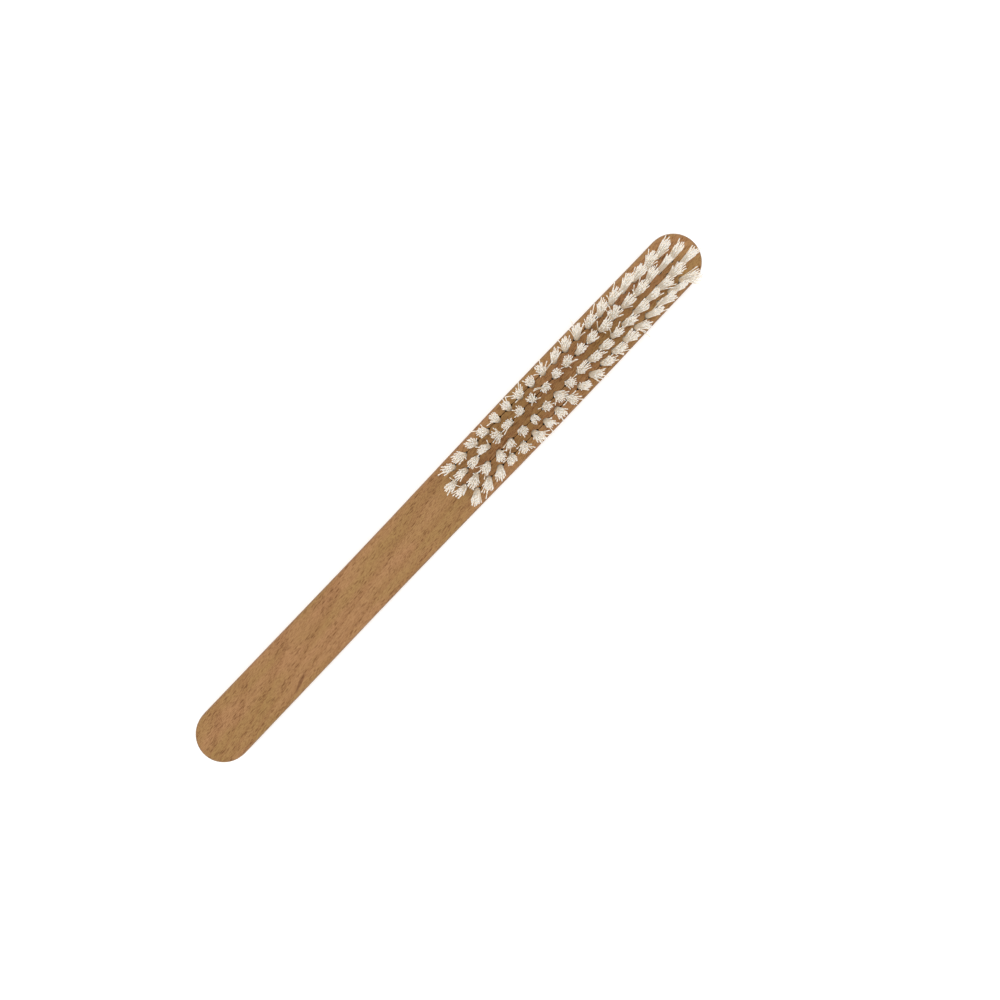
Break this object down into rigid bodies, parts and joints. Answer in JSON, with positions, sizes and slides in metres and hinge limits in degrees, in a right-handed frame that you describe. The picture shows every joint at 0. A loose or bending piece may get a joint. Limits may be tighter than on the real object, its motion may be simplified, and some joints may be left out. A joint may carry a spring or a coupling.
{
  "type": "clothes brush",
  "caption": "Flat wooden clothes brush: a long round-ended beech paddle whose narrow head carries staggered rows of stiff white nylon tufts, for working stains out of fabric.",
  "frame": {"origin": "middle of the flat back face, which the brush lies on with its bristles up", "axes": "+X runs along the brush from the handle to the bristled head, +Z points out of the bristle face, and +Y completes the right-handed frame across the brush"},
  "size_m": [0.255, 0.0214, 0.0271],
  "materials": {
    "beech": "satin",
    "nylon": "satin",
    "anchor_steel": "satin"
  },
  "bodies": {
    "root": {"wooden_back": "beech", "tuft_row_01": "nylon", "tuft_row_02": "nylon", "tuft_row_03": "nylon", "tuft_row_04": "nylon", "tuft_row_05": "nylon", "tuft_row_06": "nylon", "tuft_row_07": "nylon", "tuft_row_08": "nylon", "tuft_row_09": "nylon", "tuft_row_10": "nylon", "tuft_row_11": "nylon", "tuft_row_12": "nylon", "tuft_row_13": "nylon", "tuft_row_14": "nylon", "tuft_row_15": "nylon", "tuft_row_16": "nylon", "tuft_row_17": "nylon", "tuft_row_18": "nylon", "tuft_row_19": "nylon", "tuft_row_20": "nylon", "anchor_row_01": "anchor_steel", "anchor_row_02": "anchor_steel", "anchor_row_03": "anchor_steel", "anchor_row_04": "anchor_steel", "anchor_row_05": "anchor_steel", "anchor_row_06": "anchor_steel", "anchor_row_07": "anchor_steel", "anchor_row_08": "anchor_steel", "anchor_row_09": "anchor_steel", "anchor_row_10": "anchor_steel", "anchor_row_11": "anchor_steel", "anchor_row_12": "anchor_steel", "anchor_row_13": "anchor_steel", "anchor_row_14": "anchor_steel", "anchor_row_15": "anchor_steel", "anchor_row_16": "anchor_steel", "anchor_row_17": "anchor_steel", "anchor_row_18": "anchor_steel", "anchor_row_19": "anchor_steel", "anchor_row_20": "anchor_steel"}
  },
  "joints": []
}
